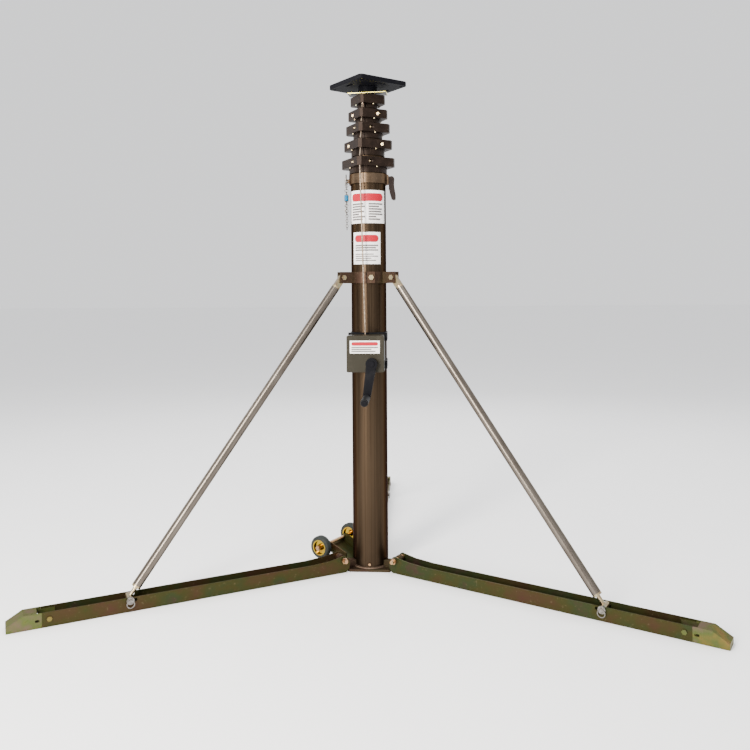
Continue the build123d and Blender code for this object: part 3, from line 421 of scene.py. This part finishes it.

# ---------------------------------------------------------------- chain and foot pins
# Zinc plated steel gone grey with handling, in fine darker and lighter patches.
dull_zinc = Finish("dull_zinc", Metallic=0.9)
handled = dull_zinc.noise(180.0, None, 4.0)
dull_zinc.paint(Base_Color=dull_zinc.mix(dull_zinc.spread(handled, 0.3, 0.7),
                                         (0.085, 0.075, 0.066), (0.260, 0.245, 0.225)),
                Roughness=dull_zinc.spread(handled, 0.3, 0.7, 0.26, 0.42))
dress(dull_zinc.material, "foot_pin_1", "foot_pin_2", "foot_pin_3", "safety_chain")


# ---------------------------------------------------------------- painted pieces
# Satin paint over steel or castings: a slight orange peel, with fine dust in it.
def satin_paint(name, colour, dusty, rough, peel=700.0, shine=0.08):
    finish = Finish(name, Metallic=0.0, Specular_IOR_Level=shine)
    skin = finish.noise(peel, None, 2.0)
    dust = finish.spread(finish.noise(26.0, None, 5.0, 0.7), 0.5, 0.8)
    finish.paint(Base_Color=finish.mix(dust * 0.5, colour, dusty),
                 Roughness=finish.spread(dust, 0.0, 1.0, rough, rough + 0.14),
                 Normal=finish.bump(skin, 0.0002, 0.3))
    return finish.material


black_paint = satin_paint("black_satin_paint", (0.0036, 0.0036, 0.0048), (0.0156, 0.015, 0.0156), 0.30)
winch_paint = satin_paint("olive_winch_paint",
                          (0.018, 0.0155, 0.0095), (0.036, 0.031, 0.021), 0.40, 520.0, 0.14)
grip_plastic = satin_paint("black_grip_plastic",
                           (0.0096, 0.0096, 0.0102), (0.024, 0.024, 0.024), 0.48, 1100.0)
tyre_rubber = satin_paint("grey_tyre_rubber", (0.022, 0.025, 0.023), (0.050, 0.054, 0.050), 0.60, 420.0)
lever_paint = satin_paint("red_brown_lever_paint", (0.012, 0.008, 0.007), (0.030, 0.022, 0.019), 0.34)
plate_paint = satin_paint("black_plate_paint",
                          (0.004, 0.004, 0.0055), (0.012, 0.012, 0.013), 0.50, 700.0, 0.03)
dress(black_paint, "crank_arm", "winch_straps")
dress(plate_paint, "top_plate")
dress(lever_paint, "lock_lever")
dress(winch_paint, "winch_housing")
dress(grip_plastic, "crank_grip")
dress(tyre_rubber, "wheel_1_tyre", "wheel_2_tyre")

# ---------------------------------------------------------------- weld bead
# Fillet weld round the foot of the mast: overlapping scales left by hand welding.
weld_metal = Finish("weld_bead", Metallic=0.8)
heat = weld_metal.noise(60.0)
weld_metal.paint(Base_Color=weld_metal.mix(heat, (0.060, 0.036, 0.026), (0.120, 0.082, 0.056)),
                 Roughness=weld_metal.spread(heat, 0.3, 0.7, 0.42, 0.60))


def weld_ring(name, radius, foot, size, scales):
    """A bead round the mast at height foot; each scale bulges size * 0.12 over the next."""
    t = np.linspace(0, 2 * pi, scales * 10, endpoint=False)
    bulge = size * (0.92 + 0.12 * ((t * scales / (2 * pi)) % 1.0))
    s = np.linspace(0, pi / 2, 6)
    r = radius + bulge[:, None] * np.concatenate([np.cos(s), [0.0]])[None, :]
    z = foot + bulge[:, None] * np.concatenate([np.sin(s), [0.0]])[None, :]
    grid = np.stack([r * np.cos(t)[:, None], r * np.sin(t)[:, None], z], -1) * MM
    return surface(name, grid, "base", weld_metal.material, close_u=True, close_v=True, crease=60)


weld_ring("mast_weld_bead", 60.05, 8.05, 5.2, 90)

# ---------------------------------------------------------------- labels
# Printed vinyl stickers: a white field, a red rounded header and plain grey bars where
# printing would be. Two wrap the fixed tube and a small one is on the winch.


def printed(name, u, v, header, bars):
    """Ink by place: u and v are millimetres across and up, header and each bar are
    (u0, u1, v0, v1); a header has its ends rounded."""
    finish = Finish(name, Specular_IOR_Level=0.2)
    across, up = u(finish), v(finish)
    grey = None
    for u0, u1, v0, v1 in bars:
        inside = (across > u0) * (across < u1) * (up > v0) * (up < v1)
        grey = inside if grey is None else grey + inside
    h0, h1, h2, h3 = header
    half = (h3 - h2) / 2
    mid = (h2 + h3) / 2
    beyond = {0: across - (h1 - half), 1: (h0 + half) - across}
    over = finish.node("ShaderNodeMath", {"operation": "MAXIMUM"}, beyond)
    over = finish.node("ShaderNodeMath", {"operation": "MAXIMUM"}, {0: over, 1: 0.0})
    away = finish.node("ShaderNodeMath", {"operation": "ABSOLUTE"}, {0: up - mid})
    red = (over * over + away * away) < half * half
    scratch = finish.noise(320.0)
    grime = finish.spread(finish.noise(22.0, None, 5.0, 0.7), 0.5, 0.8)
    paper = finish.mix(grime * 0.5, (0.80, 0.78, 0.76), (0.52, 0.48, 0.44))
    ink = finish.mix(grey * 0.9, paper, (0.035, 0.028, 0.030))
    finish.paint(Base_Color=finish.mix(red, ink, (0.33, 0.004, 0.016)),
                 Roughness=finish.spread(scratch, 0.3, 0.7, 0.42, 0.56))
    return finish.material


LABEL_IN = 60.07
LABEL_OUT = 60.22


def turn_place(centre):
    """Millimetres round the mast from the middle of the label."""
    def across(finish):
        x = finish.node("ShaderNodeSeparateXYZ", None, {"Vector": finish.object}, "X")
        y = finish.node("ShaderNodeSeparateXYZ", None, {"Vector": finish.object}, "Y")
        angle = finish.node("ShaderNodeMath", {"operation": "ARCTAN2"}, {0: y, 1: x})
        return (angle - radians(centre)) * 60.2
    return across


def side_place(finish):
    return finish.node("ShaderNodeSeparateXYZ", None, {"Vector": finish.object}, "X") * 1000.0


def height_place(finish):
    return finish.node("ShaderNodeSeparateXYZ", None, {"Vector": finish.object}, "Z") * 1000.0


def wrapped_label(name, centre, half, z0, z1, material):
    """Thin closed sticker round the mast, half degrees each way, 0.15 mm thick."""
    t = np.radians(np.linspace(centre - half, centre + half, 49))
    loop = np.concatenate([t, t[::-1]])
    outer = np.concatenate([np.full(49, LABEL_OUT), np.full(49, LABEL_IN)])
    middle = np.full(98, (LABEL_OUT + LABEL_IN) / 2)
    rows = []
    for radius, z in ((middle, z0), (outer, z0), (outer, (z0 + z1) / 2), (outer, z1), (middle, z1)):
        rows.append(np.stack([radius * np.cos(loop), radius * np.sin(loop), np.full(98, z)], -1))
    return surface(name, np.array(rows) * MM, "base", material, close_v=True)


def text_bars(left, right, top, bottom, lengths, thick, gap):
    """Grey bars like lines of print: each is a share of the width, from the left."""
    bars = []
    z = top
    for share in lengths:
        if z - thick < bottom:
            break
        bars.append((left, left + (right - left) * share, z - thick, z))
        z -= thick + gap
    return bars


upper_bars = (text_bars(-60, -6, 1230, 1168, [0.9, 1.0, 0.8, 0.95, 0.6, 1.0, 0.85], 5.6, 3.0)
              + text_bars(6, 60, 1230, 1168, [1.0, 0.7, 0.95, 0.9, 1.0, 0.5, 0.8], 5.6, 3.0))
upper_print = printed("upper_label_print", turn_place(-91.6), height_place,
                      (-62, 62, 1236.3, 1263.2), upper_bars)
wrapped_label("upper_label", -91.6, 68.0, 1162.5, 1273.3, upper_print)
lower_bars = (text_bars(-42, 42, 1090, 1066, [1.0, 0.9, 1.0], 5.0, 2.8)
              + text_bars(-42, 42, 1060, 1030, [0.8, 1.0, 0.7, 0.9], 3.6, 3.4))
lower_print = printed("lower_label_print", turn_place(-94.0), height_place,
                      (-44, 44, 1099.0, 1123.0), lower_bars)
wrapped_label("lower_label", -94.0, 48.6, 1025.0, 1132.3, lower_print)


def flat_label(name, x0, x1, z0, z1, y0, y1, material):
    """Thin closed sticker on an upright face, between depths y0 and y1."""
    corners = np.array([(x0, y0), (x1, y0), (x1, y1), (x0, y1)])
    half_way = (y0 + y1) / 2
    middle = np.array([(x0, half_way), (x1, half_way), (x1, half_way), (x0, half_way)])
    rows = []
    for loop, z in ((middle, z0), (corners, z0), (corners, z1), (middle, z1)):
        rows.append(np.column_stack([loop, np.full(4, z)]))
    return surface(name, np.array(rows) * MM, "base", material, close_v=True)


winch_bars = text_bars(-49, 38, 754, 735, [1.0, 0.75, 0.9], 4.0, 2.4)
winch_print = printed("winch_label_print", side_place, height_place,
                      (-49, 38, 757.5, 769.5), winch_bars)
flat_label("winch_label", -54.0, 43.0, 732.4, 773.9, -146.2, -146.04, winch_print)

# ---------------------------------------------------------------- wire ropes
# Galvanised wire rope of three strands, 5 mm, laid right-handed. The outside run goes
# from the drum up through the guide of each head and ends in a ferrule on the last one.
wire = Finish("galvanised_wire_rope", Metallic=0.9)
grease = wire.noise(140.0, None, 4.0)
threads = wire.noise(1500.0)
wire.paint(Base_Color=wire.mix(wire.spread(grease, 0.35, 0.7), (0.30, 0.235, 0.175), (0.13, 0.095, 0.068)),
           Roughness=wire.spread(grease, 0.3, 0.7, 0.34, 0.5),
           Normal=wire.bump(threads, 0.0001, 0.4))
FRONT = radians(-105.0)
HEAD_Z = [1354.0, 1415.0, 1471.0, 1520.0, 1570.0]
HEAD_H = 30.0
GUIDE_R = [86.0, 77.5, 70.0, 62.0, 54.0]
DRUM = (-24.5, 717.399)


def guide(i, z):
    return (GUIDE_R[i] * cos(FRONT), GUIDE_R[i] * sin(FRONT), z)


def laid_rope(name, points, radius, pitch=17.0, strands=3):
    """Rope along straight runs: its edge is radius * (0.80 + 0.20 |cos(strands/2 (a - turn))|),
    and turn grows by a full circle each pitch."""
    points = np.array(points, float)
    places, ways, run = [], [], []
    gone = 0.0
    for a, b in zip(points[:-1], points[1:]):
        length = np.linalg.norm(b - a)
        steps = np.linspace(0, 1, max(3, int(length / 1.8)))
        if places:
            steps = steps[1:]
        places += [a + (b - a) * k for k in steps]
        ways += [(b - a) / length] * len(steps)
        run += [gone + length * k for k in steps]
        gone += length
    places, ways, run = np.array(places), np.array(ways), np.array(run)
    side = np.cross(ways, (0, 1, 0))
    side /= np.linalg.norm(side, axis=1)[:, None]
    front = np.cross(ways, side)
    angle = np.linspace(0, 2 * pi, 24, endpoint=False)
    turn = 2 * pi * run[:, None] / pitch
    edge = radius * (0.80 + 0.20 * np.abs(np.cos(strands / 2 * (angle[None, :] - turn))))
    ring = edge[..., None] * (np.cos(angle)[None, :, None] * side[:, None, :]
                              + np.sin(angle)[None, :, None] * front[:, None, :])
    grid = places[:, None, :] + ring
    ends = [np.repeat(places[:1, None, :], 24, 1), np.repeat(places[-1:, None, :], 24, 1)]
    grid = np.concatenate([ends[0], grid, ends[1]]) * MM
    return surface(name, grid, None, wire.material, close_v=True, crease=70)


lower_run = laid_rope("lower_rope", [(DRUM[0] + 18.5, -84.0, DRUM[1] + 8), guide(0, HEAD_Z[0] - 1),
                                     guide(0, HEAD_Z[0] + HEAD_H + 1)], 2.5)
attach(lower_run, "base")
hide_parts("rope_lower")
for i in range(1, 5):
    low = guide(i - 1, HEAD_Z[i - 1] + HEAD_H + 2.4)
    entry = guide(i, HEAD_Z[i] - 1)
    top = guide(i, HEAD_Z[i] + (HEAD_H + 1 if i < 4 else 15))
    span = laid_rope(f"upper_rope_{i + 1}", [low, entry, top], 2.5)
    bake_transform(span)
    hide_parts(f"rope_span_{i + 1}")

# ---------------------------------------------------------------- safety chain details
# Steel snap hook on the lug of the clamp ring, the chain doubled back beside itself, and
# a band of blue sheathing that holds the two strands together.
CHAIN = (-74.5, -7.5)
LINKS = 14
LINK_PITCH = 8.6
RETURN_TOP = 1262.0
HOOK_X = -75.4


def basis(axis):
    """Two unit vectors across an axis, and the axis itself."""
    a = Vector(axis).normalized()
    u = a.orthogonal().normalized()
    return np.array(u), np.array(a.cross(u)), np.array(a)


def turned(name, profile, place, axis, body, material, count=48):
    """Revolves (radius, height) pairs in millimetres about an axis through place."""
    u, v, a = basis(axis)
    r, h = np.array(profile, float).T * MM
    t = np.linspace(0, 2 * pi, count, endpoint=False)
    grid = (np.array(place) + h[:, None, None] * a
            + r[:, None, None] * (np.cos(t)[:, None] * u + np.sin(t)[:, None] * v))
    return surface(name, grid, body, material, close_v=True)


def loop_of_wire(name, centre, across, up, half_w, half_h, wire, body, material, count=48):
    """An oval ring of round wire: the centre line is half_w by half_h about its centre."""
    t = np.linspace(0, 2 * pi, count, endpoint=False)[:, None]
    x, y = np.array(across, float), np.array(up, float)
    z = np.cross(x, y)
    line = half_w * np.cos(t) * x + half_h * np.sin(t) * y
    out = half_h * np.cos(t) * x + half_w * np.sin(t) * y
    out /= np.linalg.norm(out, axis=1)[:, None]
    s = np.linspace(0, 2 * pi, 12, endpoint=False)
    grid = (np.array(centre) + line[:, None, :]
            + wire * (np.cos(s)[None, :, None] * out[:, None, :] + np.sin(s)[None, :, None] * z))
    return surface(name, grid, body, material, close_u=True, close_v=True, crease=80)


for n in range(LINKS):
    turn = n % 2
    link_place = (CHAIN[0] * MM, (CHAIN[1] + 12.5) * MM, (RETURN_TOP - LINK_PITCH * n) * MM)
    loop_of_wire(f"chain_return_{n + 1}", link_place,
                 (0, 1, 0) if turn else (1, 0, 0), (0, 0, 1), 3.9 * MM, 5.4 * MM, 1.1 * MM,
                 "base", dull_zinc.material, 24)
loop_of_wire("snap_hook", (HOOK_X * MM, CHAIN[1] * MM, 1313.5 * MM), (0, 1, 0), (0, 0, 1),
             8.0 * MM, 19.0 * MM, 1.7 * MM, "base", dull_zinc.material)
turned("snap_hook_sleeve", [(0, -9), (3.1, -8), (3.1, 8), (0, 9)],
       (HOOK_X * MM, (CHAIN[1] - 8.0) * MM, 1312.0 * MM), (0, 0, 1), "base", dull_zinc.material, 20)

blue = satin_paint("blue_sheathing", (0.010, 0.110, 0.220), (0.030, 0.170, 0.270), 0.36)


def band_round(name, centre, half_x, half_y, z0, z1, wall, material):
    """Sleeve of oval section, closed at both rims, with its wall turned inwards."""
    t = np.linspace(0, 2 * pi, 40, endpoint=False)
    rows = []
    for inset, z in ((0, z0), (0, z1), (wall, z1), (wall, z0)):
        rows.append(np.stack([centre[0] + (half_x - inset) * np.sign(np.cos(t)) * np.abs(np.cos(t)) ** 0.6,
                              centre[1] + (half_y - inset) * np.sign(np.sin(t)) * np.abs(np.sin(t)) ** 0.6,
                              np.full(40, z)], -1))
    return surface(name, np.array(rows) * MM, "base", material, close_u=True, close_v=True)


band_round("blue_chain_band", (CHAIN[0] - 0.6, CHAIN[1] + 6.2), 7.0, 13.4, 1244.0, 1262.0, 0.8, blue)

# ---------------------------------------------------------------- grip screw
# Steel screw in the end of the crank grip, which holds it on its spindle. It turns with
# the grip.
screw_zinc = yellow_zinc("white_screw_zinc",
                         (0.80, 0.79, 0.76), (0.72, 0.70, 0.68), (0.78, 0.78, 0.74), 300.0, 0.45)
grip_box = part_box("crank_grip")
grip_end = float(grip_box[0][1])
GRIP_X = -0.0000927
GRIP_Z = 0.5890084
turned("grip_screw", [(0, 0.02), (6.2, 0.02), (6.2, 0.8), (5.2, 2.0), (2.6, 2.6), (2.2, 1.0), (0, 1.0)],
       (GRIP_X, grip_end, GRIP_Z), (0, -1, 0), "crank_grip", screw_zinc, 32)

# ---------------------------------------------------------------- rope on the drum
# Windings of the wire rope that stay on the drum, side by side.
TURNS = 8
COIL_START = -117.0
COIL_PITCH = 5.1
COIL_RADIUS = 18.1
COIL_WIRE = 2.4
angle = np.linspace(0, TURNS * 2 * pi, TURNS * 40)
sweep_y = COIL_START + COIL_PITCH * angle / (2 * pi)
s_way = np.linspace(0, 2 * pi, 10, endpoint=False)
radius_way = COIL_RADIUS + COIL_WIRE * np.cos(s_way)[None, :]
coil = np.stack([DRUM[0] + radius_way * np.cos(angle)[:, None],
                 sweep_y[:, None] + COIL_WIRE * np.sin(s_way)[None, :],
                 DRUM[1] + radius_way * np.sin(angle)[:, None]], -1)
first_cap = np.repeat(coil[:1].mean(1, keepdims=True), 10, 1)
last_cap = np.repeat(coil[-1:].mean(1, keepdims=True), 10, 1)
surface("drum_windings", np.concatenate([first_cap, coil, last_cap]) * MM, "drum",
        wire.material, close_v=True, crease=80)

# ---------------------------------------------------------------- rope ferrule
# Swaged copper sleeve that ends the rope at the last head.
ferrule_metal = yellow_zinc("swaged_ferrule",
                            (0.34, 0.24, 0.17), (0.30, 0.19, 0.13), (0.32, 0.27, 0.20), 160.0, 0.34)
turned("rope_ferrule",
       [(2.75, -8), (4.2, -7.2), (4.2, -3), (3.8, -2.4), (3.8, 2.4), (4.2, 3), (4.2, 7.2), (2.75, 8)],
       tuple(np.array(guide(4, 1560.6)) * MM), (0, 0, 1), "section_5", ferrule_metal, 28)
